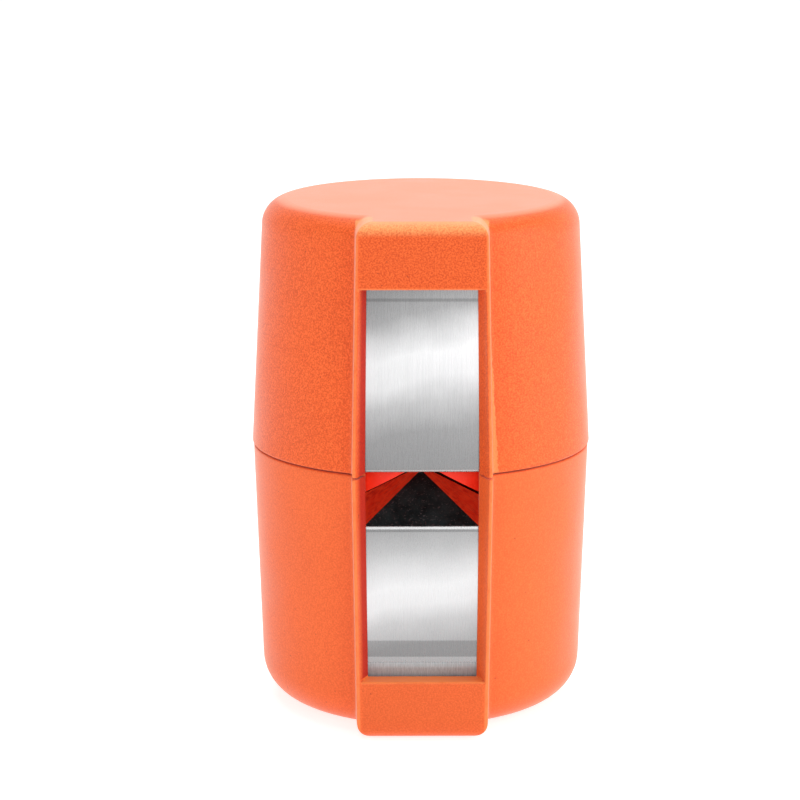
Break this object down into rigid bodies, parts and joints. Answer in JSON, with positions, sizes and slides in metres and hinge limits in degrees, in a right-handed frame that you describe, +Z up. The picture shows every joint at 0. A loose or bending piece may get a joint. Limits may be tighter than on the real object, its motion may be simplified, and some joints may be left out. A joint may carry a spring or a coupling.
{
  "type": "pipe end reamer",
  "caption": "Palm-sized barrel reamer for pipe ends: two cup-shaped halves, a bladed point in one and a bladed funnel in the other, with steel shutters over a chip window.",
  "frame": {"origin": "centre of the round bottom face, on the barrel's axis", "axes": "+Z up along the barrel's axis, from the half with the point to the half with the funnel; the rib and chip window face -Y"},
  "size_m": [0.0562, 0.0573, 0.085],
  "materials": {
    "orange_plastic": "fine spark-eroded grain, worn smoother along the rib's edges",
    "spring_steel": "brushed along its length",
    "red_plastic": "satin",
    "o_ring_rubber": "matte",
    "blade_steel": "black oxide, worn bright along the cutting edges",
    "screw_steel": "zinc plated"
  },
  "bodies": {
    "lower_half": {"lower_shell": "orange_plastic", "joining_ring": "red_plastic", "ring_screw_left": "screw_steel", "ring_screw_right": "screw_steel", "point_carrier": "red_plastic", "point_blade_front": "blade_steel", "point_blade_rear": "blade_steel", "blade_screw_front": "screw_steel", "blade_screw_rear": "screw_steel", "point_screw_1": "screw_steel", "point_screw_2": "screw_steel", "point_screw_3": "screw_steel", "point_screw_4": "screw_steel"},
    "lower_shutter": {"lower_shutter": "spring_steel"},
    "grip_ring": {"grip_o_ring": "o_ring_rubber"},
    "upper_half": {"upper_shell": "orange_plastic", "funnel_carrier": "red_plastic", "funnel_cap": "red_plastic", "funnel_blade_1": "blade_steel", "funnel_blade_2": "blade_steel", "funnel_blade_3": "blade_steel", "funnel_blade_4": "blade_steel", "funnel_screw_1": "screw_steel", "funnel_screw_2": "screw_steel", "funnel_screw_3": "screw_steel", "funnel_screw_4": "screw_steel"},
    "upper_shutter": {"upper_shutter": "spring_steel"}
  },
  "joints": [
    {"name": "lower_shutter_slide", "type": "slide", "parent": "lower_half", "child": "lower_shutter", "axis": [0, 0, 1], "range_m": [0, 0.0082]},
    {"name": "upper_turn", "type": "hinge", "parent": "lower_half", "child": "grip_ring", "pos_m": [0, 0, 0.0464], "axis": [0, 0, 1], "continuous": true},
    {"name": "upper_pull", "type": "slide", "parent": "grip_ring", "child": "upper_half", "axis": [0, 0, 1], "range_m": [0, 0.045]},
    {"name": "upper_shutter_slide", "type": "slide", "parent": "upper_half", "child": "upper_shutter", "axis": [0, 0, 1], "range_m": [0, 0.006]}
  ]
}
